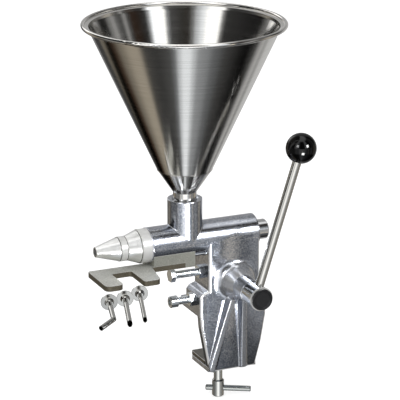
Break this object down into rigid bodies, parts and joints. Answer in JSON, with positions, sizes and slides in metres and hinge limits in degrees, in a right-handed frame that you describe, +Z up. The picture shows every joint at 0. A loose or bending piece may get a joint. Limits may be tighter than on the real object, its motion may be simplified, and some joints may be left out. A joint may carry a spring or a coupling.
{
  "type": "donut filler machine",
  "caption": "Table-clamped hand filler: conical hopper over a cast barrel, side lever with crank and piston, screw-on nozzle, fork rest and loose tips",
  "frame": {"origin": "on the table seat, the upper jaw's flat underside, straight above the clamp screw", "axes": "+Z up, away from the table; +X along the barrel to its rear; +Y away from the lever's side"},
  "size_m": [0.2825, 0.2636, 0.524],
  "materials": {
    "cast_aluminium": "sand-cast and tumbled, bright machined edges",
    "turned_aluminium": "fine turned satin",
    "plate_aluminium": "matte milled plate",
    "stainless_sheet": "polished stainless sheet with fine rings",
    "chrome": "bright chrome",
    "bright_steel": "ground bright steel",
    "zinc_steel": "bright zinc-plated steel",
    "bronze": "plain bearing bronze",
    "seal_rubber": "black food-grade rubber",
    "gasket_rubber": "white food-grade rubber",
    "black_gloss": "high-gloss black ball",
    "black_satin": "satin black cap"
  },
  "bodies": {
    "machine": {"body_casting": "cast_aluminium", "bearing_sleeve": "turned_aluminium", "bush_far": "bronze", "lock_nut_upper": "zinc_steel", "lock_nut_lower": "zinc_steel", "saddle_block": "plate_aluminium", "fork_plate": "plate_aluminium", "fork_screw_front": "bright_steel", "fork_screw_rear": "bright_steel", "block_screw_front": "bright_steel", "block_screw_rear": "bright_steel"},
    "hopper": {"hopper_cone": "stainless_sheet", "hopper_outlet": "stainless_sheet"},
    "nozzle": {"nozzle_cap": "turned_aluminium", "nozzle_gasket": "gasket_rubber"},
    "nose": {"nozzle_cone": "turned_aluminium"},
    "piston": {"piston": "bright_steel", "piston_seal_front": "seal_rubber", "piston_seal_rear": "seal_rubber"},
    "lever": {"cross_shaft": "bright_steel", "crank_arm": "bright_steel", "crank_pin": "bright_steel", "shaft_circlip": "bright_steel", "lever_hub": "chrome", "hub_ring": "chrome", "hub_cap": "black_satin", "lever_rod": "bright_steel", "ball_knob": "black_gloss"},
    "upper_stop": {"stop_screw_upper": "zinc_steel"},
    "lower_stop": {"stop_screw_lower": "zinc_steel"},
    "pad": {"clamp_pad": "cast_aluminium"},
    "screw": {"clamp_screw": "bright_steel", "pad_rivet": "bright_steel"},
    "handle": {"tommy_bar": "bright_steel"},
    "bent_tip": {"tip_bent": "chrome"},
    "wide_tip": {"tip_wide": "chrome"},
    "fine_tip": {"tip_fine": "chrome"}
  },
  "joints": [
    {"name": "lever_swing", "type": "hinge", "parent": "machine", "child": "lever", "pos_m": [0.009, -0.012, 0.0451], "axis": [0, -1, 0], "range_deg": [0, 36]},
    {"name": "piston_slide", "type": "slide", "parent": "machine", "child": "piston", "axis": [-1, 0, 0], "range_m": [0, 0.0372]},
    {"name": "upper_stop_travel", "type": "slide", "parent": "machine", "child": "upper_stop", "axis": [-1, 0, 0], "range_m": [0, 0.01]},
    {"name": "lower_stop_travel", "type": "slide", "parent": "machine", "child": "lower_stop", "axis": [-1, 0, 0], "range_m": [0, 0.012]},
    {"name": "clamp_rise", "type": "slide", "parent": "machine", "child": "pad", "axis": [0, 0, 1], "range_m": [-0.0008, 0.018]},
    {"name": "clamp_turn", "type": "hinge", "parent": "pad", "child": "screw", "pos_m": [0, 0, -0.105], "axis": [0, 0, 1], "range_deg": [-165, 3710]},
    {"name": "tommy_slide", "type": "slide", "parent": "screw", "child": "handle", "axis": [0.866, -0.5, 0], "range_m": [-0.034, 0.006]},
    {"name": "hopper_lift", "type": "slide", "parent": "machine", "child": "hopper", "axis": [0, 0, 1], "range_m": [0, 0.06]},
    {"name": "nozzle_off", "type": "slide", "parent": "machine", "child": "nozzle", "axis": [-1, 0, 0], "range_m": [0, 0.03]},
    {"name": "nose_off", "type": "slide", "parent": "nozzle", "child": "nose", "axis": [-1, 0, 0], "range_m": [0, 0.03]},
    {"name": "bent_tip_lift", "type": "slide", "parent": "machine", "child": "bent_tip", "axis": [0, 0, 1], "range_m": [0, 0.04]},
    {"name": "wide_tip_lift", "type": "slide", "parent": "machine", "child": "wide_tip", "axis": [0, 0, 1], "range_m": [0, 0.04]},
    {"name": "fine_tip_lift", "type": "slide", "parent": "machine", "child": "fine_tip", "axis": [0, 0, 1], "range_m": [0, 0.04]}
  ],
  "couplings": [
    {"joint": "piston_slide", "follows": "lever_swing", "m_per_rad": 0.05902},
    {"joint": "clamp_turn", "follows": "clamp_rise", "rad_per_m": 3590.4}
  ]
}
